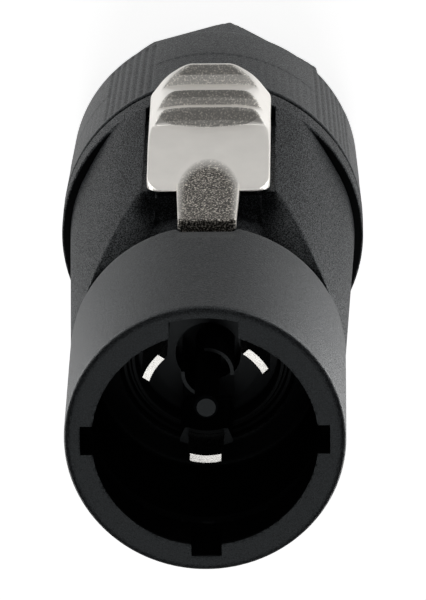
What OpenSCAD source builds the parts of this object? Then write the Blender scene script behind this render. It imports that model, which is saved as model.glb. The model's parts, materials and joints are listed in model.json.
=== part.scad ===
// In-line locking mains plug, three poles: round housing with a recessed mating face,
// arc-shaped blades, a sprung metal thumb latch and a gland nut with an octagonal end.
// The axis of the plug is Z. The plug stands on the gland nut, mouth up. The latch is
// on the -Y side. Distances called "from the lip" run from the mating face rearwards.

/* [Overall] */
// Length from the mating face to the rear of the gland nut
len = 88; // [87.5:0.1:89]
// Curve resolution of turned surfaces
fine = 96; // [48:8:128]

/* [Shroud] */
// Outer radius of the shroud
shroud_r = 13.9; // [13.8:0.05:14.1]
// Bore radius of the lip ring
lip_bore_r = 11.16; // [11.0:0.02:11.3]
// Depth of the lip ring from the lip
lip_depth = 5.2; // [4.8:0.1:5.6]
// Width of the three narrow coding slots
slot_w = 3; // [2.6:0.1:3.2]
// Width of the wide coding slot on the latch side
key_w = 6.8; // [6:0.1:7]
// Radius of the bayonet groove behind the lip ring
groove_r = 12.4; // [12.1:0.1:12.6]
// Radius of the mating chamber
chamber_r = 11.7; // [11.4:0.1:11.8]
// Depth of the chamber floor from the lip
floor_s = 22.4; // [22.2:0.1:22.6]
// Bore radius behind the chamber floor
throat_r = 9.0; // [8.98:0.01:9.1]

/* [Housing] */
// Flank radius at the front of the body
flank_r1 = 13.9; // [13.8:0.05:14]
// Flank radius at the rim
flank_r2 = 14.9; // [14.7:0.05:15]
// Radius of the rear rim and of the front of the gland nut
rim_r = 15.8; // [15.7:0.05:15.9]
// Half width of the raised seat that carries the latch
seat_hw = 9.2; // [9:0.1:9.6]
// Radius of the spigot under the gland nut
spigot_r = 13.5; // [13.4:0.05:13.55]
// Bore radius for the contact carrier and the collet
bore_r = 10.2; // [10.18:0.01:10.3]

/* [Latch] */
// Travel of the latch towards the rear
latch_travel = 3.4; // [3:0.1:3.4]
// Half width of the thumb pad
pad_hw = 6.5; // [6.3:0.1:6.6]
// Height of the thumb pad above the axis
pad_top = 18.95; // [18.6:0.05:19.2]
// Wire diameter of the latch spring
spring_wire = 0.3; // [0.25:0.05:0.35]
// Number of active turns of the latch spring
spring_turns = 11; // [9:1:12]

/* [Contacts] */
// Mean radius of the three blades about the axis
blade_r = 6.06; // [6.0:0.02:6.1]
// Thickness of a blade
blade_t = 0.76; // [0.72:0.02:0.9]
// Width of a blade
blade_w = 3.5; // [3.3:0.05:3.5]
// Distance of the line and neutral tips from the lip
tip_s = 13; // [12.5:0.1:13.5]
// Distance of the earth tip from the lip
earth_tip_s = 10.2; // [10:0.1:10.6]
// Radius of the centre post
post_r = 1.2; // [1.1:0.05:1.3]

/* [Gland] */
// Radius of the gland nut where its ribs end
nut_r2 = 15.14; // [15:0.02:15.3]
// Width across flats of the wrench end
flats = 25.5; // [25.2:0.1:25.8]
// Angle of the first wrench corner from the latch direction
wrench_turn = 7; // [0:1:15]
// Radius of the cable opening in the nut
entry_r = 8.8; // [8.6:0.05:8.9]
// Inner radius of the cable seal
seal_r = 5.2; // [5.1:0.1:5.4]
// Number of fingers of the collet
fingers = 8; // [6:2:8]

/* [Hidden] */
$fn = 96;
e = 0.01;
function zs(s) = len - s;
rim_s1 = 58.3;              // front of the rim, from the lip
rim_s2 = 61.8;              // rear of the rim
nut_s1 = 62.6;              // front of the gland nut
nut_s2 = 80.8;              // end of the ribbed part
spigot_s = 76.6;            // rear end of the spigot
pad_s1 = 34.4;              // front of the thumb pad
pad_s2 = 59;                // rear of the thumb pad
seat_u = 12.85;             // floor of the latch seat above the axis
lug_s1 = 38.1;              // spring lug of the latch
lug_s2 = 41;
spring_s2 = 54;             // rear end of the spring groove
spring_u = 11.95;           // spring axis above the main axis
spring_r = 0.9;             // outer radius of the spring

charcoal = [0.13, 0.14, 0.15];
black = [0.05, 0.05, 0.055];
nickel = [0.78, 0.76, 0.72];
silver = [0.85, 0.85, 0.83];

// ---- helpers -------------------------------------------------------------

// cylinder between two distances from the lip
module span(r, s1, s2) translate([0, 0, zs(s2)]) cylinder(r = r, h = s2 - s1, $fn = fine);

// block on the latch side: half width, height range above the axis, range from the lip
module block(hw, u1, u2, s1, s2)
    translate([-hw, -u2, zs(s2)]) cube([2 * hw, u2 - u1, s2 - s1]);

// prism across X from a side profile of [distance from lip, height above axis] points
module side_prism(hw, pts)
    rotate([90, 0, 90]) translate([0, 0, -hw]) linear_extrude(height = 2 * hw)
        polygon([for (p = pts) [-p[1], zs(p[0])]]);

// ring or disc of revolution from [radius, distance from lip] points
module turned(pts) rotate_extrude($fn = fine) polygon([for (p = pts) [p[0], zs(p[1])]]);

// places a part made on the +Y side at each pole: earth is opposite the latch
module at_pole(a) rotate([0, 0, a]) children();

// ---- housing --------------------------------------------------------------

module housing_outer() {
    // shroud with a rounded lip edge, flared flanks, rim and spigot in one turned body
    turned([[0, 0], [shroud_r - 0.6, 0], [shroud_r - 0.32, 0.08], [shroud_r - 0.09, 0.3],
            [shroud_r, 0.6], [shroud_r, 22.4], [flank_r1 - 0.12, 23.7], [flank_r1, 24.6],
            [flank_r2, rim_s1], [rim_r - 0.15, rim_s1], [rim_r, rim_s1 + 0.15],
            [rim_r, rim_s2 - 0.3], [rim_r - 0.3, rim_s2], [spigot_r, rim_s2],
            [spigot_r, spigot_s - 0.8], [spigot_r - 0.8, spigot_s], [0, spigot_s]]);
    // raised seat of the latch
    intersection() {
        turned([[0, 25.8], [14, 26], [rim_r, rim_s1 + 0.2], [0, rim_s1 + 0.2]]);
        translate([0, 0, zs(rim_s1 + 0.2)]) linear_extrude(height = 34)
            polygon([for (m = [1, -1]) for (p = m > 0
                ? [[13.2, 4], [13.2, 6.9], [12.1, 9.2], [10.8, 11.1], [seat_hw, 12.85], [seat_hw, 20]]
                : [[seat_hw, 20], [seat_hw, 12.85], [10.8, 11.1], [12.1, 9.2], [13.2, 6.9], [13.2, 4]])
                [m * p[0], -p[1]]]);
    }
}

module lip_slots() {
    for (a = [0, 90, -90]) rotate([0, 0, a])
        translate([-slot_w / 2, 0, zs(lip_depth + 0.1)]) cube([slot_w, 12.3, lip_depth + 1]);
    intersection() {
        span(12.8, -1, lip_depth + 0.1);
        block(key_w / 2, 0, 14, -1, lip_depth + 0.1);
    }
}

module latch_pocket() {
    // wedge-shaped pocket behind the shroud, open towards the latch side
    difference() {
        rotate([90, 0, 0]) linear_extrude(height = 20)
            polygon([[-11.8, zs(23.6)], [-11.6, zs(25)], [-5.9, zs(32)], [-5.3, zs(35)],
                     [5.3, zs(35)], [5.9, zs(32)], [11.6, zs(25)], [11.8, zs(23.6)]]);
        span(11.2, 20, 40);
    }
}

module housing_shell() color(charcoal) difference() {
    housing_outer();
    // mouth, bayonet groove, chamber, throat and rear bore
    span(lip_bore_r, -1, lip_depth + e);
    span(groove_r, lip_depth, 8.8);
    span(chamber_r, 8.7, floor_s);
    span(throat_r, floor_s - e, 34.5 + e);
    span(bore_r, 34.5, spigot_s + 1);
    lip_slots();
    latch_pocket();
    // shallow ramp on the rear of the shroud, in front of the latch tongue
    side_prism(2.9, [[20.7, 13.95], [24, 13.1], [24, 20], [20.7, 20]]);
    // passage of the locking finger
    block(2.75, 8.3, 11.3, 17, 33.2);
    block(2.75, 8.3, 14, 25.4, 33.2);
    // seat of the thumb pad
    block(pad_hw + 0.25, seat_u, 20, 31.9, rim_s1 - 0.05);
    // groove of the latch spring
    block(1.1, 10.95, seat_u + e, lug_s1 - 0.1, spring_s2);
}

// ---- latch ----------------------------------------------------------------

module latch_slider() color(nickel) {
    difference() {
        intersection() {
            // stepped thumb pad
            side_prism(8, [[pad_s1, 12.95], [pad_s1, 13.55], [pad_s1 + 0.6, 13.85],
                [48.5, pad_top - 3.05], [49.4, pad_top - 1.55], [52, pad_top - 2.2],
                [52.9, pad_top - 0.9], [56.9, pad_top - 1.65], [58.3, pad_top],
                [pad_s2, pad_top], [pad_s2, 12.95]]);
            // cross-section of the pad
            translate([0, 0, zs(pad_s2 + 1)]) linear_extrude(height = 30)
                polygon([for (m = [1, -1]) for (p = m > 0
                    ? [[pad_hw, 12.9], [pad_hw, 14.1], [pad_hw + 0.24, 14.45], [6.27, 15.45],
                       [5.35, pad_top - 2.35], [3.96, pad_top - 0.95], [2.45, pad_top]]
                    : [[2.45, pad_top], [3.96, pad_top - 0.95], [5.35, pad_top - 2.35],
                       [6.27, 15.45], [pad_hw + 0.24, 14.45], [pad_hw, 14.1], [pad_hw, 12.9]])
                    [m * p[0], -p[1]]]);
            // plan outline with rounded front corners
            rotate([90, 0, 0]) linear_extrude(height = 24) union() {
                translate([-8, zs(pad_s2 + 1)]) square([16, pad_s2 + 1 - pad_s1 - 2.2]);
                translate([-pad_hw + 2.2, zs(pad_s1 + 2.3)]) square([2 * pad_hw - 4.4, 2.3]);
                for (m = [1, -1]) translate([m * (pad_hw - 2.2), zs(pad_s1 + 2.2)])
                    circle(r = 2.2, $fn = 48);
            }
        }
        // the rear of the pad clears the rim and the gland nut
        span(16.1, rim_s1 - latch_travel - 0.2, pad_s2 + 2);
    }
    // tongue with chamfered front corners
    intersection() {
        side_prism(3.1, [[25.7, 12.57], [25.7, 13.62], [pad_s1 + 1, 13.9], [pad_s1 + 1, 12.97],
            [27.6, 12.95], [27.25, 12.57]]);
        rotate([90, 0, 0]) linear_extrude(height = 20)
            polygon([[-2.6, zs(25.7)], [2.6, zs(25.7)], [2.95, zs(26.05)], [3.1, zs(pad_s1 + 1)],
                     [-3.1, zs(pad_s1 + 1)], [-2.95, zs(26.05)]]);
    }
    // neck and locking finger
    block(2.5, 9.4, 12.8, 26.3, 28.5);
    side_prism(2.5, [[19.8, 9.4], [19.8, 10.1], [20.8, 11.1], [28.5, 11.1], [28.5, 9.4]]);
    // lug that the spring pushes on
    block(1.0, 11.05, 13.2, lug_s1, lug_s2);
}

// round-wire compression spring along the axis direction, closed flat by its end turns
module latch_spring() color(silver) {
    n = 10;                                  // steps a turn
    m = 8;                                   // sides of the wire
    h = spring_s2 - lug_s2 - spring_wire - 0.06;
    rc = spring_r - spring_wire / 2;
    steps = n * spring_turns;
    lead = atan2(h / spring_turns, 2 * PI * rc);
    pts = [for (i = [0:steps]) let (a = 360 * i / n, c = [rc * cos(a), rc * sin(a), h * i / steps])
        for (j = [0:m - 1]) let (b = 360 * j / m, q = spring_wire / 2)
            c + q * cos(b) * [cos(a), sin(a), 0]
              + q * sin(b) * [sin(a) * sin(lead), -cos(a) * sin(lead), cos(lead)]];
    faces = concat(
        [[for (j = [0:m - 1]) j]],
        [for (i = [0:steps - 1]) for (j = [0:m - 1]) let (k = (j + 1) % m)
            [i * m + j, (i + 1) * m + j, (i + 1) * m + k]],
        [for (i = [0:steps - 1]) for (j = [0:m - 1]) let (k = (j + 1) % m)
            [i * m + j, (i + 1) * m + k, i * m + k]],
        [[for (j = [m - 1:-1:0]) steps * m + j]]);
    translate([0, -spring_u, zs(spring_s2) + spring_wire / 2 + 0.03]) polyhedron(pts, faces);
}

// ---- mating face ------------------------------------------------------------

// ribbed ring gasket at the bottom of the mouth
module front_seal_ring() color(black)
    turned([[7.1, 24.95], [8.95, 24.95], [8.95, 23.2], [8.6, 22.9], [8.3, 22.9], [8.1, 23.4],
            [7.9, 23.4], [7.7, 22.9], [7.4, 22.9], [7.1, 23.3]]);

// outline of a blade slice, grown by g for the slots it sits in
module blade_solid(s1, s2, g = 0, bevel = 0)
    intersection() {
        difference() {
            span(blade_r + blade_t / 2 + g, s1, s2);
            span(blade_r - blade_t / 2 - g, s1 - 1, s2 + 1);
        }
        rotate([-90, 0, 0]) linear_extrude(height = 12)
            polygon([[-blade_w / 2 - g, -zs(s2)], [blade_w / 2 + g, -zs(s2)],
                     [blade_w / 2 + g, -zs(s1 + bevel)], [blade_w / 2 + g - bevel, -zs(s1)],
                     [-blade_w / 2 - g + bevel, -zs(s1)], [-blade_w / 2 - g, -zs(s1 + bevel)]]);
    }

// places a blade at its pole: each is turned a little about the axis and about its own middle
function shift_of(a) = a == 120 ? 3.8 : a == -120 ? 3.4 : -1.5;
function twist_of(a) = a == 120 ? 8.5 : a == -120 ? -7 : 0;
module blade_at(a) rotate([0, 0, a + shift_of(a)]) translate([0, blade_r, 0])
    rotate([0, 0, twist_of(a)]) translate([0, -blade_r, 0]) children();

// blade and its flat terminal tail
module contact(a, s1, bevel) {
    blade_at(a) blade_solid(s1, 36, 0, bevel);
    at_pole(a) translate([-1.6, blade_r - blade_t / 2 + 0.02, zs(49)]) cube([3.2, blade_t - 0.04, 13.2]);
}

module contact_line() color(silver) contact(120, tip_s, 0.33);
module contact_neutral() color(silver) contact(-120, tip_s, 0.33);
module contact_earth() color(silver) contact(0, earth_tip_s, 0.2);

// wedge between two angles about the axis, used for the split tube
module sector(a1, a2) translate([0, 0, zs(28)]) linear_extrude(height = 10)
    polygon([[0, 0], for (i = [0:6]) let (a = a1 + (a2 - a1) * i / 6) [3.3 * cos(a), 3.3 * sin(a)]]);

module contact_carrier() color(black) difference() {
    union() {
        // disc in the throat, flange and barrel
        span(throat_r - 0.1, 25, 34.6);
        span(bore_r - 0.1, 34.6, 50);
        // core ring inside the blades
        span(5.45, 23.9, 25.1);
        // boss around the root of the earth blade
        intersection() {
            difference() { span(7.0, 16, 25.1); span(5.3, 15, 26); }
            rotate([0, 0, -1.5]) translate([0, 0, zs(25.1)]) linear_extrude(height = 10)
                polygon([[-2.15, 5], [2.15, 5], [2.65, 6.1], [2.65, 8], [-2.65, 8], [-2.65, 6.1]]);
        }
        // centre post
        turned([[0, 25.5], [0, 8.8], [post_r - 0.25, 8.8], [post_r, 9.05], [post_r, 12],
                [post_r + 0.15, 29], [0, 29]]);
        // the two quarter arcs of the split tube
        intersection() {
            difference() { span(2.65, 18.4, 28); span(2.3, 17, 27.9); }
            union() {
                sector(-3, 86);
                sector(174, 276);
            }
        }
    }
    // hollow in the core, around the split tube
    difference() {
        span(3.3, 22, 27.8);
        span(2.65, 22, 28);
    }
    // inside of the split tube, down to the post's foot
    difference() {
        span(2.3, 22, 27.8);
        span(post_r + 0.1, 21, 28);
    }
    // the two open quarters of the tube
    intersection() {
        difference() { span(2.7, 22, 27.8); span(post_r + 0.1, 21, 28); }
        union() {
            sector(86, 174);
            sector(276, 357);
        }
    }
    // gap of the core ring on the earth side
    translate([-2.6, 2.4, zs(24.9)]) cube([5.2, 2.55, 3]);
    // slots of the blades
    for (a = [0, 120, -120]) blade_at(a) blade_solid(15, 37, 0.03, 0);
    for (a = [0, 120, -120]) at_pole(a) {
        // slot of the tail
        translate([-1.65, blade_r - blade_t / 2 - 0.03, zs(50.1)])
            cube([3.3, blade_t + 0.06, 15]);
        // terminal bay, open outwards and to the rear
        translate([-2.6, 2.5, zs(50.1)]) cube([5.2, 9, 7.6]);
    }
}

module carrier_rear_cap() color(black) difference() {
    span(bore_r - 0.1, 50.05, 55);
    for (a = [0, 120, -120]) at_pole(a) translate([0, 4.7, zs(56)]) cylinder(r = 1.9, h = 7, $fn = 48);
}

// clamp cage around a terminal tail, with its threaded top wall
module clamp_cage() difference() {
    translate([-2.4, 2.8, zs(48)]) cube([4.8, 5.6, 5]);
    translate([-1.8, 3.7, zs(49)]) cube([3.6, 3.5, 7]);
    translate([0, 6, zs(45.5)]) rotate([-90, 0, 0]) cylinder(r = 1.5, h = 4, $fn = 48);
}

module clamp_cage_line() color(silver) at_pole(120) clamp_cage();
module clamp_cage_neutral() color(silver) at_pole(-120) clamp_cage();
module clamp_cage_earth() color(silver) at_pole(0) clamp_cage();

// slotted terminal screw
module terminal_screw() difference() {
    translate([0, 0, zs(45.5)]) rotate([-90, 0, 0]) union() {
        translate([0, 0, 6.6]) cylinder(r = 1.45, h = 2, $fn = 48);
        translate([0, 0, 8.45]) cylinder(r = 2.1, h = 1.4, $fn = 48);
    }
    translate([-0.35, 9.15, zs(45.5) - 3]) cube([0.7, 2, 6]);
}

module terminal_screw_line() color(silver) at_pole(120) terminal_screw();
module terminal_screw_neutral() color(silver) at_pole(-120) terminal_screw();
module terminal_screw_earth() color(silver) at_pole(0) terminal_screw();

// ---- cable gland ------------------------------------------------------------

// slit collet: a ring in the spigot bore and tapered fingers behind it
module strain_relief_chuck() color(charcoal) difference() {
    turned([[8.4, 55.3], [bore_r - 0.1, 55.3], [bore_r - 0.1, 77], [8.7, 83.8], [7.6, 83.8],
            [7.6, 74], [8.4, 74]]);
    for (i = [0:fingers / 2 - 1]) rotate([0, 0, 180 / fingers + i * 360 / fingers])
        translate([-12, -0.5, zs(85)]) cube([24, 1, 13]);
}

// ribbed rubber sleeve in the collet
module cable_seal() color(black)
    turned([[8.35, 61], [8.35, 73.95], [seal_r + 0.6, 73.95], [seal_r, 73], [seal_r, 72],
            [seal_r + 0.6, 71], [seal_r + 0.6, 69], [seal_r, 68], [seal_r, 67],
            [seal_r + 0.6, 66], [seal_r + 0.6, 64], [seal_r, 63], [seal_r, 62],
            [seal_r + 0.6, 61]]);

// slip washer in front of the nut's cone
module thrust_washer() color(silver) difference() {
    span(13.4, 77.1, 78.1);
    span(10.5, 76, 79);
}

// flat ring in the gap between the rim and the nut
module nut_gasket() color(black)
    turned([[spigot_r + 0.05, rim_s2], [15.3, rim_s2], [15.45, rim_s2 + 0.15],
            [15.45, rim_s2 + 0.5], [15.3, rim_s2 + 0.65], [spigot_r + 0.05, rim_s2 + 0.65]]);

module gland_nut() color(charcoal) difference() {
    union() {
        turned([[0, nut_s1], [rim_r - 0.2, nut_s1], [rim_r, nut_s1 + 0.2], [nut_r2, nut_s2],
                [nut_r2 - 0.6, nut_s2 + 0.5], [0, nut_s2 + 0.5]]);
        // octagonal wrench end with a bevelled rear edge
        intersection() {
            rotate([0, 0, -90 - wrench_turn]) cylinder(r = flats / 2 / cos(22.5), h = zs(nut_s2) + e, $fn = 8);
            turned([[0, nut_s2], [20, nut_s2], [20, len - 3], [13.1, len], [0, len]]);
        }
    }
    // threaded bore, relief for the washer, cone on the collet and cable opening
    span(13.8, nut_s1 - 1, 78.6);
    turned([[0, 78.5], [11.4, 78.5], [9.3, 83.9], [0, 83.9]]);
    span(9.3, 83.8, 84.6);
    span(entry_r, 84, len + 1);
}

// ---- assembly ---------------------------------------------------------------

housing_shell();
latch_slider();
latch_spring();
front_seal_ring();
contact_carrier();
carrier_rear_cap();
contact_line();
contact_neutral();
contact_earth();
clamp_cage_line();
clamp_cage_neutral();
clamp_cage_earth();
terminal_screw_line();
terminal_screw_neutral();
terminal_screw_earth();
strain_relief_chuck();
cable_seal();
thrust_washer();
nut_gasket();
gland_nut();
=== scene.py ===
# Looks of the locking power plug: detailed meshes, materials, camera and studio.
# Frame: metres, axis = Z, mouth up, latch on the -Y side. Mesh code works in mm.
import json
import math
import bpy
import numpy as np
from mathutils import Matrix, Vector

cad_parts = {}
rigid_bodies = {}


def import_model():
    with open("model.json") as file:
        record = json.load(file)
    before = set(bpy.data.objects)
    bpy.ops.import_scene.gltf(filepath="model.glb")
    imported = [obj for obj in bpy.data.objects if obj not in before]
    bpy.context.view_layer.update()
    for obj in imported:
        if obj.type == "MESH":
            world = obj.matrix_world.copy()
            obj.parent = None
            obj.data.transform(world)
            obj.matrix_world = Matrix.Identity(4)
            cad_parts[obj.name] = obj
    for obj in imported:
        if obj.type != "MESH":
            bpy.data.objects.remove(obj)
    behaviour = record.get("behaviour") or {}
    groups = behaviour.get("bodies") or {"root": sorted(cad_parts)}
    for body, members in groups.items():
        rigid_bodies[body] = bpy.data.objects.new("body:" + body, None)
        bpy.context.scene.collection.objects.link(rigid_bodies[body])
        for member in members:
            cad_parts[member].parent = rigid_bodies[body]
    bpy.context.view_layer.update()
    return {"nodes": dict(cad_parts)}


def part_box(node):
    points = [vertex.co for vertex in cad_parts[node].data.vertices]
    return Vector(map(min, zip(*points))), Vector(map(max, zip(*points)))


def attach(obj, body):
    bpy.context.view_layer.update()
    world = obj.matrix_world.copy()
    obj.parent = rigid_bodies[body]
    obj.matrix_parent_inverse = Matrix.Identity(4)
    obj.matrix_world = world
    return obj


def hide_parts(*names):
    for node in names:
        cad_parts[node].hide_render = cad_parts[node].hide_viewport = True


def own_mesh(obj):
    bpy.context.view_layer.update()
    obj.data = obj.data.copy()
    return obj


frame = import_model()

L = (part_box("housing_shell")[1].z) * 1000.0        # mating face above the floor, mm
f32 = np.float32

# ----------------------------------------------------------------------------
# implicit shapes to meshes
# ----------------------------------------------------------------------------


def smax(a, b, k):
    h = np.maximum(k - np.abs(a - b), 0) / k
    return np.maximum(a, b) + h * h * (k * 0.25)


def smin(a, b, k):
    return -smax(-a, -b, k)


def cut(a, b, k=0.0):
    return smax(a, -b, k) if k > 0 else np.maximum(a, -b)


def box3(x, y, z, lo, hi):
    """distance-like value of a box, lo and hi corners"""
    return np.maximum(np.maximum(np.maximum(lo[0] - x, x - hi[0]), np.maximum(lo[1] - y, y - hi[1])),
                      np.maximum(lo[2] - z, z - hi[2]))


def ramp(t, a, b):
    q = np.clip((t - a) / (b - a), 0, 1)
    return q * q * (3 - 2 * q)


def contour(f, lo, hi, h):
    """dual contouring of f(x, y, z) < 0 on a grid of pitch h; keeps sharp edges"""
    n = [int(math.ceil((hi[a] - lo[a]) / h)) + 1 for a in range(3)]
    ax = [(lo[a] + h * np.arange(n[a])).astype(f32) for a in range(3)]
    F = np.empty(n, f32)
    step = max(1, 1500000 // (n[1] * n[2]))
    for i in range(0, n[0], step):
        X, Y, Z = np.meshgrid(ax[0][i:i + step], ax[1], ax[2], indexing="ij")
        F[i:i + step] = f(X, Y, Z)
    S = F < 0
    strides = np.array([(n[1] - 1) * (n[2] - 1), n[2] - 1, 1], np.int64)
    pts, nrm, cells, quads, flips = [], [], [], [], []
    eps = h * 0.02
    for a in range(3):
        s0 = [slice(None)] * 3; s1 = [slice(None)] * 3
        s0[a] = slice(0, -1); s1[a] = slice(1, None)
        A, B = S[tuple(s0)], S[tuple(s1)]
        idx = np.argwhere(A != B)
        b, c = [q for q in range(3) if q != a]
        ok = (idx[:, b] > 0) & (idx[:, b] < n[b] - 1) & (idx[:, c] > 0) & (idx[:, c] < n[c] - 1)
        idx = idx[ok]
        i1 = idx.copy(); i1[:, a] += 1
        v0 = F[idx[:, 0], idx[:, 1], idx[:, 2]]; v1 = F[i1[:, 0], i1[:, 1], i1[:, 2]]
        t = v0 / (v0 - v1)
        p = np.array(lo)[None] + h * idx.astype(float)
        # two secant steps put the crossing on the true surface
        lo_t, hi_t, flo, fhi = np.zeros_like(t), np.ones_like(t), v0.copy(), v1.copy()
        for _ in range(2):
            q = p.copy(); q[:, a] += h * t
            v = f(q[:, 0].astype(f32), q[:, 1].astype(f32), q[:, 2].astype(f32))
            same = (v < 0) == (flo < 0)
            lo_t = np.where(same, t, lo_t); flo = np.where(same, v, flo)
            hi_t = np.where(same, hi_t, t); fhi = np.where(same, fhi, v)
            t = lo_t + (hi_t - lo_t) * np.clip(flo / (flo - fhi + 1e-12), 0.02, 0.98)
        q = p.copy(); q[:, a] += h * t
        g = np.empty_like(q)
        for d in range(3):
            e = np.zeros(3); e[d] = eps
            qa, qb = (q + e).astype(f32), (q - e).astype(f32)
            g[:, d] = f(qa[:, 0], qa[:, 1], qa[:, 2]) - f(qb[:, 0], qb[:, 1], qb[:, 2])
        g /= np.linalg.norm(g, axis=1, keepdims=True) + 1e-12
        around = []
        for db, dc in ((-1, -1), (0, -1), (0, 0), (-1, 0)):
            ci = idx.copy(); ci[:, b] += db; ci[:, c] += dc
            around.append(ci @ strides)
        around = np.stack(around, 1)
        quads.append(around)
        flips.append((v0 < 0) ^ (a == 1))
        for m in range(4):
            cells.append(around[:, m]); pts.append(q); nrm.append(g)
    cell = np.concatenate(cells); P = np.concatenate(pts); N = np.concatenate(nrm)
    ids, inv = np.unique(cell, return_inverse=True)
    m = len(ids)
    cnt = np.bincount(inv, minlength=m).astype(float)
    mean = np.stack([np.bincount(inv, P[:, d], m) for d in range(3)], 1) / cnt[:, None]
    R = P - mean[inv]
    d = (N * R).sum(1)
    AtA = np.zeros((m, 3, 3)); Atb = np.zeros((m, 3))
    for i in range(3):
        Atb[:, i] = np.bincount(inv, N[:, i] * d, m)
        for j in range(i, 3):
            AtA[:, i, j] = AtA[:, j, i] = np.bincount(inv, N[:, i] * N[:, j], m)
    AtA += np.eye(3)[None] * (0.04 * cnt)[:, None, None]
    x = mean + np.linalg.solve(AtA, Atb[:, :, None])[:, :, 0]
    ci = np.stack([ids // strides[0], (ids % strides[0]) // strides[1], ids % strides[1]], 1)
    base = np.array(lo)[None] + h * ci
    x = np.clip(x, base + 0.02 * h, base + 0.98 * h)
    Q = np.concatenate(quads); flip = np.concatenate(flips)
    Q = np.searchsorted(ids, Q)
    Q[flip] = Q[flip][:, ::-1]
    return x, Q[:, ::-1]


def make_mesh(name, verts_mm, faces, smooth_angle=32.0):
    me = bpy.data.meshes.new(name)
    v = np.asarray(verts_mm, float) * 0.001
    fa = np.asarray(faces)
    me.vertices.add(len(v)); me.vertices.foreach_set("co", v.ravel().astype(f32))
    k = fa.shape[1]
    me.loops.add(fa.size); me.loops.foreach_set("vertex_index", fa.ravel().astype(np.int32))
    me.polygons.add(len(fa))
    me.polygons.foreach_set("loop_start", (np.arange(len(fa)) * k).astype(np.int32))
    me.update(calc_edges=True)
    me.validate()
    ob = bpy.data.objects.new(name, me)
    bpy.context.scene.collection.objects.link(ob)
    shade(ob, smooth_angle)
    return ob


def shade(ob, angle):
    me = ob.data
    me.polygons.foreach_set("use_smooth", np.ones(len(me.polygons), bool))
    me.set_sharp_from_angle(angle=math.radians(angle))
    me.update()


def reduce_to(ob, tris):
    """collapses a dense mesh to about that many triangles and applies the result"""
    me = ob.data
    now = sum(len(p.vertices) - 2 for p in me.polygons) if len(me.polygons) < 1000 else 2 * len(me.polygons)
    if now <= tris:
        return
    mod = ob.modifiers.new("reduce", "DECIMATE")
    mod.ratio = tris / now
    dg = bpy.context.evaluated_depsgraph_get()
    new = bpy.data.meshes.new_from_object(ob.evaluated_get(dg))
    ob.modifiers.clear()
    old = ob.data
    ob.data = new
    new.name = ob.name
    bpy.data.meshes.remove(old)


# ----------------------------------------------------------------------------
# housing: one moulding
# ----------------------------------------------------------------------------
RIM1, RIM2, SPIG = 58.3, 61.8, 76.6


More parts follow.
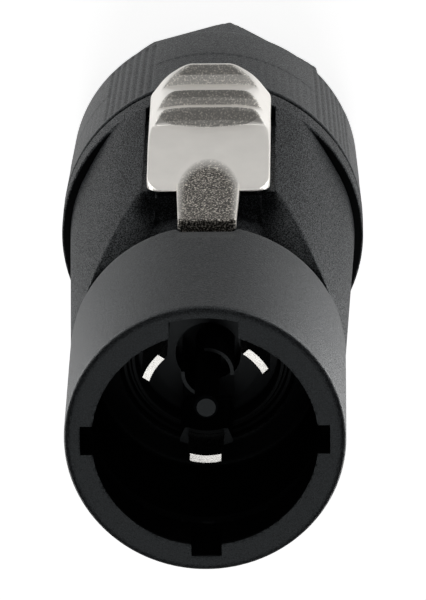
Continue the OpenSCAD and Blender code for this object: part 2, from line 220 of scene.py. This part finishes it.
def housing_sdf(x, y, z):
    X, U, s = np.abs(x), -y, L - z
    r = np.sqrt(x * x + y * y)
    # shroud and flared flanks, with a soft crease behind the shroud
    flank = 13.9 + (s - 24.6) * 0.02967
    crease = -0.10 * np.exp(-((s - 24.3) / 0.8) ** 2)
    R = np.where(s < 24.6, 13.9, flank) + crease
    body = smax(r - R, -s, 0.75)
    body = np.maximum(body, s - RIM1 - 0.2)
    # raised seat of the latch
    Rp = 14.0 + np.clip(s - 26.0, 0, 33) * 0.0554
    side = ramp(X, 9.1, 13.2) * (U > 0) + (U <= 0)
    Rp = Rp + side * (flank - Rp)
    seat = np.maximum(r - Rp, np.maximum(25.5 - s, s - RIM1 - 0.2))
    seat = np.maximum(seat, 1.0 - U)
    body = np.minimum(body, seat)
    # rim band and spigot
    rim = smax(r - 15.8, np.abs(s - (RIM1 + RIM2) / 2) - (RIM2 - RIM1) / 2, 0.35)
    spig = smax(r - 13.5, s - SPIG, 0.9)
    spig = np.maximum(spig, 60.0 - s)
    # thread on the spigot
    ph = (np.arctan2(y, x) / (2 * np.pi) + (s - 64.5) / 3.0) % 1.0
    th = np.clip(np.abs(ph - 0.5) * 4 - 0.6, 0, 1) * 0.5
    spig = spig + th * ramp(s, 64.0, 64.8) * (1 - ramp(s, 75.0, 75.8))
    d = np.minimum(np.minimum(body, rim), spig)
    # inside
    d = cut(d, smax(r - 11.16, s - 5.6, 0.12), 0.18)
    d = cut(d, smax(smax(r - 12.4, 5.2 - s, 0.12), s - 8.8, 0.12), 0.12)
    d = cut(d, smax(np.maximum(r - 11.7, 8.0 - s), s - 22.4, 0.5))
    d = cut(d, np.maximum(r - 9.0, np.maximum(20.0 - s, s - 34.7)), 0.3)
    d = cut(d, np.maximum(r - 10.2, 34.5 - s))
    # coding slots of the lip
    for a, b in ((x, -y * 1.0), (y, x), (y, -x)):
        if a is x:
            side = y                        # narrow slot opposite the latch
            sl = np.maximum(np.maximum(np.abs(x) - 1.5, -side), np.maximum(side - 12.3, s - 5.6))
        else:
            sl = np.maximum(np.maximum(np.abs(y) - 1.5, -b), np.maximum(b - 12.3, s - 5.6))
        d = cut(d, sl, 0.1)
    key = np.maximum(np.maximum(X - 3.4, r - 12.8), np.maximum(s - 5.6, -U))
    d = cut(d, key, 0.1)
    # wedge-shaped pocket behind the shroud
    nl = (7.0 * (X - 11.6) + 5.7 * (s - 25.0)) / 9.027 - 0.15 * (r - 13.95)
    nl = np.minimum(nl, X - 5.9 + 0.2 * (s - 32.0))
    pocket = smax(smax(23.6 - s, nl, 0.4), smax(s - 35.0, 11.2 - r, 0.6), 0.4)
    pocket = np.maximum(pocket, -U)
    d = smax(d, -pocket, 0.3 + 0.6 * ramp(s, 24.6, 29.0))
    # chamfer that widens towards the thumb pad
    cham = (((s - 25.0) + 2.45 * (X - 11.6)) / 2.65 + 0.75 * (Rp - r)) / 1.3
    cham = smax(cham, np.maximum(s - 36.4, np.maximum(5.4 - X, 24.0 - s)), 0.4)
    cham = np.maximum(cham, -U)
    d = smax(d, -cham, 0.2)
    # ramp in front of the tongue
    rp = 13.1 + (24.0 - s) * 0.26 - U
    chan = smax(smax(X - 2.9, rp, 0.5), 20.4 - s, 0.3)
    chan = np.maximum(chan, s - 24.5)
    d = cut(d, chan, 0.45)
    # passage of the locking finger, thumb pad seat and spring groove
    d = cut(d, np.maximum(np.maximum(X - 2.75, 8.3 - U), np.maximum(U - 11.3, np.maximum(17.0 - s, s - 33.2))))
    d = cut(d, np.maximum(np.maximum(X - 2.75, 8.3 - U), np.maximum(U - 14.0, np.maximum(25.4 - s, s - 33.2))))
    d = cut(d, np.maximum(np.maximum(X - 6.75, 12.85 - U), np.maximum(31.5 - s, s - 58.25)), 0.15)
    d = cut(d, np.maximum(np.maximum(X - 1.1, 10.95 - U), np.maximum(U - 13.0, np.maximum(38.0 - s, s - 54.0))))
    return d


h = 0.25
v, q = contour(housing_sdf, (-16.4, -16.4, L - 77.2), (16.4, 16.4, L + 0.6), h)
housing = make_mesh("housing_moulding", v, q)
reduce_to(housing, 190000)
shade(housing, 34)

# ----------------------------------------------------------------------------
# thumb latch: one die casting
# ----------------------------------------------------------------------------


def latch_sdf(x, y, z):
    X, U, s = np.abs(x), -y, L - z
    q = np.clip((s - 36.0) / 12.5, 0, 1.0)
    scoop = 13.74 + 0.44 * q + 1.65 * q ** 1.8 + (0.004 + 0.018 * q) * X * X
    scoop = scoop - 0.16 * np.clip((36.4 - s) / 1.4, 0, 1.0) ** 2
    sb = s + 0.085 * np.clip(X - 1.8, 0, 9) ** 2
    pts_s = [33.0, 48.0, 48.6, 49.15, 49.4, 51.3, 51.9, 52.5, 52.95, 56.0, 56.8, 57.7, 58.35, 60.0]
    pts_u = [12.0, 15.70, 16.30, 17.10, 17.38, 16.85, 16.80, 17.40, 18.03, 17.40, 17.35, 18.10, 18.95, 18.95]
    steps = np.interp(sb, pts_s, pts_u).astype(f32)
    shelf = np.where(s > 47.0, np.maximum(scoop * (s < 50.5), steps), scoop)
    shelf = np.where(s > 50.5, steps, shelf)
    # slopes differ: scale towards a true distance
    top = (U - shelf) * np.where((s > 48.0), 0.62, 0.97)
    # inner facet and outer bevel on each flank, falling to the front
    rise = np.clip((59.0 - s) / 17.0, 0, 1.45)
    b1 = (U - (18.95 + 0.3 * rise) + 0.63 * (X - 2.45)) * 0.846
    b2 = (U - (17.00 + 0.12 * rise) + 1.30 * (X - 5.05)) * 0.61
    pad = smax(top, smax(b1, b2, 0.35), 0.35)
    # flanks and front corners
    W = 6.28 + 0.56 * ramp(s, 44.0, 58.0)
    side = X - W
    # rounded plan corners at the front
    cx, cs = np.maximum(X - (6.28 - 1.3), 0) / 1.3, np.maximum(34.7 + 3.2 - s, 0) / 3.2
    plan = (np.sqrt(cx * cx + cs * cs) - 1.0) * 1.6
    pad = smax(pad, np.maximum(side, plan), 0.3)
    pad = smax(pad, s - 59.0, 0.35)
    pad = np.maximum(pad, 12.95 + 0.5 * np.clip((37.6 - s) / 2.5, 0, 1) - U)
    r = np.sqrt(x * x + y * y)
    over = np.maximum(16.1 - r, -1e3)
    pad = np.maximum(pad, np.minimum(over, 1e3) * (s > 53.6) + (-10.0) * (s <= 53.6))
    # arch-shaped end of the tongue let into the scoop
    plane = 13.62 + (s - 25.7) * 0.033
    arch = X * X / (3.15 * 3.15) + np.clip(s - 34.0, 0, 20) ** 2 / (8.2 * 8.2) - 1.0
    arch = arch * 2.2
    rec = smax(arch, plane - U, 0.9)
    pad = cut(pad, rec, 0.8)
    # tongue
    tw = 2.92 + 0.03 * np.clip(s - 25.7, 0, 9)
    ton = smax(smax(U - plane, X - tw, 0.35), 25.7 - s, 0.3)
    ton = smax(ton, (X - tw) * 0.7 + (26.0 - s) * 0.7, 0.2)
    ton = np.maximum(ton, np.maximum(s - 36.0, np.where(s < 27.4, 12.57, 12.95) - U))
    d = np.minimum(pad, ton)
    # neck, locking finger and spring lug
    neck = np.maximum(np.maximum(X - 2.5, 9.4 - U), np.maximum(U - 12.8, np.maximum(26.3 - s, s - 28.5)))
    fin = np.maximum(np.maximum(X - 2.5, 9.4 - U), np.maximum(U - 11.1, np.maximum(19.8 - s, s - 28.5)))
    fin = np.maximum(fin, (U - s * 0.7 + 13.4 - 9.9) * 0.8)
    lug = np.maximum(np.maximum(X - 1.0, 11.05 - U), np.maximum(U - 13.2, np.maximum(38.1 - s, s - 41.0)))
    return np.minimum(np.minimum(d, neck), np.minimum(fin, lug))


h = 0.125
v, q = contour(latch_sdf, (-7.3, -19.6, L - 59.6), (7.3, -9.0, L - 19.2), h)
latch = make_mesh("thumb_latch", v, q)
reduce_to(latch, 180000)
shade(latch, 38)

# ----------------------------------------------------------------------------
# gland nut: ribbed, with smooth fields and an octagonal wrench end
# ----------------------------------------------------------------------------
RIBS = 104
N1, N2, NR2 = 62.6, 80.8, 15.14
TURN = math.radians(7.0)
AP = 12.75


def nut_mesh():
    per = 8
    n = RIBS * per
    th = np.arange(n) * (2 * np.pi / n)            # clockwise seen from the mouth, from the latch
    rib = 0.5 - 0.5 * np.cos(RIBS * th)
    groove = np.clip(1.0 - rib * 1.35, 0, 1) ** 1.1
    # four smooth fields behind the ribs
    a = np.degrees((th + np.pi) % (2 * np.pi) - np.pi)
    inside = np.zeros(n)
    for k in range(4):
        c = 10.5 + 90.0 * k
        dd = np.abs((a - c + 180) % 360 - 180)
        inside = np.maximum(inside, 1 - ramp(dd, 33.2, 34.2))
    # regular octagon radius with slightly rounded corners
    o = (th - TURN + np.pi / 8) % (np.pi / 4) - np.pi / 8
    octr = AP / np.cos(np.pi / 8 - np.abs(o))
    octr = -np.log(np.exp(-14 * octr) + np.exp(-14 * 13.86)) / 14
    corner = np.abs((np.degrees(th) - (360 - 38.0) + 180) % 360 - 180) < 20
    octr = np.where(corner, np.minimum(octr, 13.15), octr)
    rows = []
    def row(r, s): rows.append((np.broadcast_to(r, (n,)).astype(float), np.full(n, float(s))))
    def base(s): return 15.8 + (s - N1) / (N2 - N1) * (NR2 - 15.8)
    row(13.8, 78.55)
    for i in range(10):
        row(13.8, 77.6 - i * 1.55)
    row(13.8, 63.0)
    row(13.95, 62.68); row(14.15, N1)
    row(15.40, N1); row(15.60, N1 + 0.03); row(15.72, N1 + 0.12); row(15.78, N1 + 0.26)
    # ribbed part
    for s in (63.05, 63.25, 63.5, 63.9, 64.8, 66.2, 68, 70, 71.4, 71.8, 72.0, 72.15, 72.3, 72.5, 73.2, 74.4, 76, 77.5, 78.6, 79.2, 79.6, 79.9, 80.15):
        on = ramp(s, 62.9, 63.7) * (1 - ramp(s, 79.4, 80.2))
        field = inside * ramp(s, 71.9, 72.4)
        dep = 0.15 * on * (1 - field) * (1 - 0.8 * inside)
        lift = 0.03 * field
        row(base(s) - dep * groove + lift - 0.05 * (1 - field) * on * 0, s)
    row(base(80.3) - 0.02, 80.35); row(base(80.5) - 0.10, 80.6); row(base(80.8) - 0.28, 80.82)
    row(base(80.8) - 0.62, 80.98)
    m = 0.5
    row(octr * m + (base(80.8) - 0.9) * (1 - m) , 81.05)
    row(octr + 0.10, 81.12); row(octr + 0.02, 81.3); row(octr, 81.7)
    for s in (83, 84.5, 85.6): row(octr, s)
    # bevelled rear edge
    cap = 13.95 - 0.0
    for s, c in ((86.6, 14.2), (87.3, 13.9), (87.65, 13.75), (87.85, 13.5), (87.95, 13.3)):
        row(np.minimum(octr, c), s)
    row(np.minimum(octr, 12.75) - 0.1, 88.0)
    row(11.0, 88.0); row(9.3, 88.0); row(9.05, 87.93); row(8.85, 87.78); row(8.8, 87.6)
    row(8.8, 86); row(8.8, 84.75); row(8.95, 84.6); row(9.3, 84.55); row(9.3, 83.95)
    row(10.3, 81.3); row(11.3, 78.7); row(11.5, 78.55); row(12.6, 78.55)
    R = np.array([a_[0] for a_ in rows]); S = np.array([a_[1] for a_ in rows])
    x = -R * np.sin(th)[None]; y = -R * np.cos(th)[None]; z = L - S
    V = np.stack([x, y, z], -1).reshape(-1, 3)
    k = len(rows)
    i, j = np.meshgrid(np.arange(k), np.arange(n), indexing="ij")
    i2, j2 = (i + 1) % k, (j + 1) % n
    F = np.stack([i * n + j, i * n + j2, i2 * n + j2, i2 * n + j], -1).reshape(-1, 4)
    return V, F


v, q = nut_mesh()
nut = make_mesh("ribbed_gland_nut", v, q, 40)


# ----------------------------------------------------------------------------
# bodies
# ----------------------------------------------------------------------------
for ob, body, node, slot in ((housing, "housing", "housing_shell", "housing_plastic"),
                             (latch, "latch", "latch_slider", "latch_nickel"),
                             (nut, "nut", "gland_nut", "nut_plastic")):
    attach(ob, body)
    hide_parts(node)

# ----------------------------------------------------------------------------
# materials
# ----------------------------------------------------------------------------


class Tree:
    def __init__(self, name):
        self.m = bpy.data.materials.new(name)
        self.m.use_nodes = True
        self.nt = self.m.node_tree
        self.p = self.nt.nodes["Principled BSDF"]
        self.out = self.nt.nodes["Material Output"]
        self.obj = self.add("ShaderNodeTexCoord").outputs["Object"]

    def add(self, kind, **props):
        n = self.nt.nodes.new(kind)
        for k, v in props.items():
            setattr(n, k, v)
        return n

    def link(self, a, b):
        self.nt.links.new(a, b)

    def noise(self, scale, detail=2.0, rough=0.5, vec=None, dist=0.0):
        n = self.add("ShaderNodeTexNoise")
        n.inputs["Scale"].default_value = scale
        n.inputs["Detail"].default_value = detail
        n.inputs["Roughness"].default_value = rough
        n.inputs["Distortion"].default_value = dist
        self.link(vec or self.obj, n.inputs["Vector"])
        return n.outputs["Fac"]

    def voronoi(self, scale, feature="F1", vec=None, rnd=1.0):
        n = self.add("ShaderNodeTexVoronoi", feature=feature)
        n.inputs["Scale"].default_value = scale
        n.inputs["Randomness"].default_value = rnd
        self.link(vec or self.obj, n.inputs["Vector"])
        return n.outputs["Distance"]

    def ramp(self, fac, stops, interp="LINEAR"):
        n = self.add("ShaderNodeValToRGB")
        n.color_ramp.interpolation = interp
        e = n.color_ramp.elements
        while len(e) < len(stops):
            e.new(0.5)
        for el, (pos, c) in zip(e, stops):
            el.position = pos
            el.color = (*c, 1.0) if len(c) == 3 else c
        self.link(fac, n.inputs["Fac"])
        return n.outputs["Color"]

    def span(self, v, a, b, lo, hi):
        n = self.add("ShaderNodeMapRange")
        n.clamp = True
        for i, k in enumerate((a, b, lo, hi)):
            n.inputs[1 + i].default_value = k
        self.link(v, n.inputs[0])
        return n.outputs[0]

    def math(self, op, a, b=None, c=None, clamp=False):
        n = self.add("ShaderNodeMath", operation=op, use_clamp=clamp)
        for i, v in enumerate((a, b, c)):
            if v is None:
                continue
            if isinstance(v, (int, float)):
                n.inputs[i].default_value = v
            else:
                self.link(v, n.inputs[i])
        return n.outputs[0]

    def mix(self, fac, a, b):
        n = self.add("ShaderNodeMix", data_type="RGBA")
        for i, v in ((0, fac), (6, a), (7, b)):
            if isinstance(v, (int, float)):
                n.inputs[i].default_value = v
            elif isinstance(v, tuple):
                n.inputs[i].default_value = (*v, 1.0)
            else:
                self.link(v, n.inputs[i])
        return n.outputs[2]

    def bump(self, height, strength, distance, prev=None):
        n = self.add("ShaderNodeBump")
        n.inputs["Strength"].default_value = strength
        n.inputs["Distance"].default_value = distance
        self.link(height, n.inputs["Height"])
        if prev is not None:
            self.link(prev, n.inputs["Normal"])
        return n.outputs["Normal"]

    def attr(self, name):
        return self.add("ShaderNodeAttribute", attribute_name=name).outputs["Fac"]


def plastic(name, base, speck=0.75, scale=7600.0, rough=0.42, grain=1.0, depth=5.5e-5, spec=0.3, cool=(0.90, 0.97, 1.0), mouth=False, pits=0.0):
    """moulded engineering plastic with a spark-eroded grain; with mouth set, it also paints shade inside the mouth,
    leaves a lighter ring at the throat's edge as a painted highlight, and paints a shadow on the step in front of the
    rim
    """
    t = Tree(name)
    fine = t.noise(scale, 3.0, 0.6)
    flakes = t.noise(scale * 0.45, 2.0, 0.5)
    cloud = t.noise(140.0, 2.0, 0.5)
    lo = tuple(c * (1 - speck) for c in base)
    hi = tuple(c * (1 + 2.2 * speck) for c in base)
    col = t.ramp(fine, [(0.40, lo), (0.50, base), (0.60, hi)])
    tint = t.ramp(cloud, [(0.3, (0.94, 0.95, 0.97)), (0.7, (1.05, 1.04, 1.03))])
    n = t.add("ShaderNodeMix", data_type="RGBA", blend_type="MULTIPLY")
    n.inputs[0].default_value = 1.0
    t.link(col, n.inputs[6]); t.link(tint, n.inputs[7])
    bc = n.outputs[2]
    dark = t.math("MULTIPLY", t.span(fine, 0.43, 0.57, 1.0, 0.0), pits) if pits else None
    if mouth:
        # painted shade: the inside of the mouth is painted nearly black, and a thin ring at the throat's edge is
        # spared most of it, which shows as a painted highlight
        sep = t.add("ShaderNodeSeparateXYZ")
        t.link(t.obj, sep.inputs[0])
        rr = t.math("SQRT", t.math("ADD", t.math("POWER", sep.outputs[0], 2.0), t.math("POWER", sep.outputs[1], 2.0)))
        k = t.math("MULTIPLY", t.span(rr, 0.01285, 0.01300, 1.0, 0.0),
                   t.math("MULTIPLY", t.span(sep.outputs[2], 0.08750, 0.08780, 1.0, 0.0),
                          t.span(sep.outputs[2], 0.0640, 0.0645, 0.0, 1.0)))
        ring = t.math("MULTIPLY", t.span(rr, 0.00900, 0.00922, 1.0, 0.0), t.span(rr, 0.00880, 0.00890, 0.0, 1.0))
        k = t.math("MULTIPLY", k, t.math("SUBTRACT", 1.0, t.math("MULTIPLY", ring, 0.8)))
        # painted shade: the base colour in the mouth is mixed towards near-black
        bc = t.mix(k, bc, (0.0060, 0.0070, 0.0080))
        # dark pits that are stronger on the flanks than on the shroud and weakest at the lip, and a shadowed step in
        # front of the rim
        zone = t.math("MULTIPLY", t.span(sep.outputs[2], 0.0634, 0.0640, 0.82, 0.30), t.span(sep.outputs[2], 0.08755, 0.08790, 1.0, 0.25))
        dark = t.math("MULTIPLY", t.span(fine, 0.43, 0.57, 1.0, 0.0), zone)
        step = t.math("MULTIPLY", t.span(t.math("ABSOLUTE", t.math("SUBTRACT", sep.outputs[2], L * 0.001 - 0.0583)), 0.00020, 0.00030, 1.0, 0.0),
                      t.span(rr, 0.01556, 0.01568, 1.0, 0.0))
        dark = t.math("MAXIMUM", dark, t.math("MULTIPLY", step, 0.90))
        # painted shade: the mouth is also mixed 72% towards the dark diffuse shader, which dims its reflections
        dark = t.math("MAXIMUM", dark, t.math("MULTIPLY", k, 0.72))
    t.link(bc, t.p.inputs["Base Color"])
    r = t.span(fine, 0.3, 0.7, rough - 0.08, rough + 0.08)
    h = t.math("ADD", t.math("MULTIPLY", fine, 0.6), t.math("MULTIPLY", flakes, 0.7))
    t.link(r, t.p.inputs["Roughness"])
    t.link(t.bump(h, grain, depth), t.p.inputs["Normal"])
    t.p.inputs["Specular IOR Level"].default_value = spec
    t.p.inputs["Specular Tint"].default_value = (*cool, 1.0)
    t.p.inputs["IOR"].default_value = 1.5
    if dark is not None:
        # the dark diffuse shader darkens the grain's pits, and in the housing it also carries the painted shade in the
        # mouth and the painted shadow on the step in front of the rim
        pit_and_shade_bsdf = t.add("ShaderNodeBsdfDiffuse")
        pit_and_shade_bsdf.inputs["Color"].default_value = (0.004, 0.0043, 0.0047, 1.0)
        m = t.add("ShaderNodeMixShader")
        t.link(dark, m.inputs[0]); t.link(t.p.outputs[0], m.inputs[1]); t.link(pit_and_shade_bsdf.outputs[0], m.inputs[2])
        t.link(m.outputs[0], t.out.inputs["Surface"])
    return t


def metal(name, base, rough=0.3, scale=7000.0, grain=0.25, depth=1.0e-5, stain=0.08):
    t = Tree(name)
    fine = t.noise(scale, 3.0, 0.6)
    cloud = t.noise(220.0, 3.0, 0.55)
    col = t.ramp(cloud, [(0.3, tuple(c * (1 - stain) for c in base)), (0.7, base)])
    t.link(col, t.p.inputs["Base Color"])
    t.p.inputs["Metallic"].default_value = 1.0
    r = t.span(fine, 0.3, 0.7, rough - 0.05, rough + 0.07)
    t.link(r, t.p.inputs["Roughness"])
    t.link(t.bump(fine, grain, depth), t.p.inputs["Normal"])
    return t


def blasted_metal(name, base):
    """nickel-plated die casting: satin faces, and coarse grain where the 'blast' attribute is set"""
    t = Tree(name)
    k = t.attr("blast")
    fine = t.noise(6500.0, 3.0, 0.6)
    coarse = t.noise(5200.0, 2.0, 0.6)
    cloud = t.noise(260.0, 3.0, 0.55)
    col = t.ramp(cloud, [(0.3, tuple(c * 0.93 for c in base)), (0.7, base)])
    pits = t.ramp(coarse, [(0.45, (0.030, 0.028, 0.025)), (0.545, (0.17, 0.156, 0.135)), (0.66, (0.85, 0.80, 0.72))])
    t.link(t.mix(k, col, pits), t.p.inputs["Base Color"])
    t.p.inputs["Metallic"].default_value = 0.78
    r1 = t.span(fine, 0.3, 0.7, 0.33, 0.41)
    r2 = t.span(coarse, 0.3, 0.7, 0.42, 0.60)
    n = t.add("ShaderNodeMix", data_type="FLOAT")
    t.link(k, n.inputs[0]); t.link(r1, n.inputs[2]); t.link(r2, n.inputs[3])
    t.link(n.outputs[0], t.p.inputs["Roughness"])
    b1 = t.bump(fine, 0.25, 0.8e-5)
    h = t.math("MULTIPLY", coarse, k)
    t.link(t.bump(h, 0.9, 4.0e-5, b1), t.p.inputs["Normal"])
    return t


MAT = {
    # the housing's material also paints shade inside the mouth, a highlight at the throat's edge and a shadow on the
    # step in front of the rim
    "housing": plastic("charcoal_grain", (0.0135, 0.0145, 0.0158), mouth=True),
    "nut": plastic("charcoal_nut", (0.0140, 0.0150, 0.0162), scale=7000.0, rough=0.42, spec=0.36, pits=0.46),
    "carrier": plastic("black_pbt", (0.0050, 0.0055, 0.0064), speck=0.12, scale=7500.0, rough=0.36, grain=0.15, depth=0.8e-5, spec=0.13),
    "chuck": plastic("grey_polyacetal", (0.035, 0.037, 0.040), speck=0.1, rough=0.42, grain=0.2, depth=1.0e-5, spec=0.45),
    "washer": plastic("natural_polyacetal", (0.62, 0.60, 0.56), speck=0.05, rough=0.38, grain=0.12, depth=0.6e-5, spec=0.5, cool=(1, 1, 1)),
    "rubber": plastic("black_silicone", (0.004, 0.0042, 0.0045), speck=0.15, scale=6800.0, rough=0.45, grain=0.2, depth=1.0e-5, spec=0.2),
    "latch": blasted_metal("nickel_casting", (0.965, 0.935, 0.885)),
    "spring": metal("spring_wire", (0.62, 0.61, 0.60), rough=0.30, scale=9000.0),
    "silver": metal("silver_plate", (0.52, 0.51, 0.49), rough=0.26, scale=8000.0, grain=0.8, depth=2.5e-5, stain=0.25),
    "steel": metal("zinc_steel", (0.66, 0.66, 0.67), rough=0.34, scale=6500.0, grain=0.3),
}


def wear(ob, key):
    ob.data.materials.clear()
    ob.data.materials.append(MAT[key].m)


def dress(node, key):
    """a carried-over CAD node: material into its slots"""
    ob = frame["nodes"][node] if not isinstance(frame["nodes"][node], str) else bpy.data.objects[frame["nodes"][node]]
    if not ob.material_slots:
        raise ValueError(node)
    for s in ob.material_slots:
        s.material = MAT[key].m


wear(housing, "housing")
wear(nut, "nut")
wear(latch, "latch")
for node, key in (("latch_spring", "spring"), ("front_seal_ring", "rubber"), ("contact_carrier", "carrier"),
                  ("carrier_rear_cap", "carrier"), ("contact_line", "silver"), ("contact_neutral", "silver"),
                  ("contact_earth", "silver"), ("clamp_cage_line", "steel"), ("clamp_cage_neutral", "steel"),
                  ("clamp_cage_earth", "steel"), ("terminal_screw_line", "steel"), ("terminal_screw_neutral", "steel"),
                  ("terminal_screw_earth", "steel"), ("strain_relief_chuck", "chuck"), ("cable_seal", "rubber"),
                  ("thrust_washer", "washer"), ("nut_gasket", "rubber")):
    dress(node, key)

# the spring sits between the latch's lug and the end of its groove; it gets its own copy of its mesh
spring = frame["nodes"]["latch_spring"]
spring = bpy.data.objects[spring] if isinstance(spring, str) else spring
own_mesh(spring)

# coarse grain of the latch: risers, tongue and the arch behind it
co = np.empty(len(latch.data.vertices) * 3, f32); latch.data.vertices.foreach_get("co", co)
co = co.reshape(-1, 3) * 1000.0
no = np.empty_like(co); latch.data.vertices.foreach_get("normal", no.ravel())
no = np.empty(len(latch.data.vertices) * 3, f32); latch.data.vertices.foreach_get("normal", no); no = no.reshape(-1, 3)
lX, lU, ls = np.abs(co[:, 0]), -co[:, 1], L - co[:, 2]
nU, ns = -no[:, 1], -no[:, 2]
riser = ((ls > 48.0) & (ls < 58.6) & (ns < -0.25) & (lX < 5.6) & (nU > 0.05)).astype(f32)
arch = lX ** 2 / 3.15 ** 2 + np.clip(ls - 34.0, 0, 20) ** 2 / 8.2 ** 2
flat = np.clip((1.04 - arch) / 0.50, 0, 1) ** 0.7 * ((ls < 43.0) & (nU > -0.2) & (lU < 14.9)).astype(f32)
flat = np.maximum(flat, ((ls < 26.2) & (lX < 3.1) & (lU > 12.4)).astype(f32))
blast = np.maximum(riser * 0.55, flat)
at = latch.data.attributes.new("blast", "FLOAT", "POINT")
at.data.foreach_set("value", blast)

# ----------------------------------------------------------------------------
# floor, lights, camera
# ----------------------------------------------------------------------------


def floor_material():
    """pale table top, lit from below around the object like an acrylic light table"""
    t = Tree("pale_table")
    n = t.noise(9.0, 2.0, 0.5)
    t.link(t.ramp(n, [(0.3, (0.88, 0.88, 0.88)), (0.7, (0.90, 0.90, 0.90))]), t.p.inputs["Base Color"])
    t.p.inputs["Roughness"].default_value = 0.85
    t.p.inputs["Specular IOR Level"].default_value = 0.1
    s = t.add("ShaderNodeSeparateXYZ")
    t.link(t.obj, s.inputs[0])
    ax = t.math("ABSOLUTE", s.outputs[0])
    fx = t.span(ax, 0.025, 0.034, 1.0, 0.0)
    fy = t.span(s.outputs[1], -0.026, -0.018, 0.0, 1.0)
    fd = t.span(s.outputs[1], 0.057, 0.072, 1.0, 0.0)
    k = t.math("MULTIPLY", t.math("MULTIPLY", fx, fy), fd)
    t.p.inputs["Emission Color"].default_value = (1.0, 1.0, 1.0, 1.0)
    gx = t.span(ax, 0.016, 0.024, 1.0, 0.0)
    gy = t.math("MULTIPLY", t.span(s.outputs[1], -0.068, -0.056, 0.0, 1.0), t.span(s.outputs[1], -0.036, -0.028, 1.0, 0.0))
    glow = t.math("MULTIPLY", t.math("MULTIPLY", gx, gy), 0.24)
    near = t.math("ADD", t.math("MULTIPLY_ADD", k, 0.70, 0.17), glow)
    seen = t.add("ShaderNodeLightPath").outputs["Is Camera Ray"]
    both = t.math("ADD", t.math("MULTIPLY", near, t.math("SUBTRACT", 1.0, seen)), t.math("MULTIPLY", seen, 0.86))
    t.link(both, t.p.inputs["Emission Strength"])
    return t.m


me = bpy.data.meshes.new("table_top")
R0 = 2.2
me.from_pydata([(-R0, -R0, 0), (R0, -R0, 0), (R0, R0, 0), (-R0, R0, 0)], [], [(0, 1, 2, 3)])
floor = bpy.data.objects.new("table_top", me)
bpy.context.scene.collection.objects.link(floor)
floor.location.z = -0.0002
me.materials.append(floor_material())

CTR = Vector((0, 0, 0.050))


def panel(name, where, to, w, h, radiance, color=(1, 1, 1)):
    """soft panel of the given radiance; seen in reflections but not by the camera"""
    ld = bpy.data.lights.new(name, "AREA")
    ld.shape = "RECTANGLE"
    ld.size, ld.size_y = w, h
    ld.energy = radiance * math.pi * w * h
    ld.color = color
    ob = bpy.data.objects.new(name, ld)
    bpy.context.scene.collection.objects.link(ob)
    ob.location = where
    d = Vector(to) - Vector(where)
    ob.rotation_euler = d.to_track_quat("-Z", "Y").to_euler()
    ob.visible_camera = False
    return ob


def dome(name, az, el, watts, size=0.5, color=(1, 1, 1)):
    a, e = math.radians(az), math.radians(el)
    d = Vector((math.sin(a) * math.cos(e), -math.cos(a) * math.cos(e), math.sin(e)))
    ld = bpy.data.lights.new(name, "AREA")
    ld.shape = "DISK"
    ld.size = size
    ld.energy = watts
    ld.color = color
    ob = bpy.data.objects.new(name, ld)
    bpy.context.scene.collection.objects.link(ob)
    ob.location = CTR + d
    ob.rotation_euler = (-d).to_track_quat("-Z", "Y").to_euler()
    return ob


# table-level panels at both sides and behind the latch side, and two soft front lights
panel("panel_left", (0.110, -0.02, 0.002), (0.110, -0.02, 1), 0.10, 0.28, 3.3)
panel("panel_right", (-0.110, -0.02, 0.002), (-0.110, -0.02, 1), 0.10, 0.28, 4.9)
panel("panel_rear", (0, -0.30, 0.024), (0, 0, 0.024), 1.2, 0.044, 2.0)
dome("front_high", 0, 68, 0.66)
dome("front_low", 180, 68, 1.80)

world = bpy.data.worlds.new("studio")
bpy.context.scene.world = world
world.use_nodes = True
wb = world.node_tree.nodes["Background"]
wb.inputs["Color"].default_value = (1.0, 1.0, 1.0, 1.0)
wb.inputs["Strength"].default_value = 0.05

# camera at the viewing angle of the product picture
PSI, RHO, PHI, DIST = math.radians(-1.0), math.radians(-0.8), math.radians(21.6), 0.8


def cad(v):
    return Vector((-v[0], -v[1], -v[2]))


V = Vector((math.sin(PSI), -math.sin(PHI) * math.cos(PSI), math.cos(PHI) * math.cos(PSI)))
up = Vector((0, 1, 0)); up = (up - V * up.dot(V)).normalized()
rt = Vector((1, 0, 0)); rt = rt - V * rt.dot(V); rt = (rt - up * rt.dot(up)).normalized()
R_ = math.cos(RHO) * rt + math.sin(RHO) * up
UP = -math.sin(RHO) * rt + math.cos(RHO) * up
lip = Vector((0, 0, L * 0.001))
eye = lip - cad(V) * DIST
fwd = cad(V * 800 + R_ * 0.786 + UP * 13.78).normalized()
upv = cad(UP); upv = (upv - fwd * upv.dot(fwd)).normalized()
right = fwd.cross(upv).normalized()
cd = bpy.data.cameras.new("camera")
cam = bpy.data.objects.new("camera", cd)
bpy.context.scene.collection.objects.link(cam)
cam.matrix_world = Matrix(((right.x, upv.x, -fwd.x, eye.x), (right.y, upv.y, -fwd.y, eye.y),
                           (right.z, upv.z, -fwd.z, eye.z), (0, 0, 0, 1)))
cd.sensor_width = 36.0
cd.sensor_fit = "AUTO"
cd.lens = 8144.0 * 36.0 / 600.0
cd.clip_start = 0.02
cd.clip_end = 12.0
bpy.context.scene.camera = cam

vs = bpy.context.scene.view_settings
vs.view_transform = "Standard"
vs.look = "None"
vs.exposure = 0.0
vs.gamma = 1.0
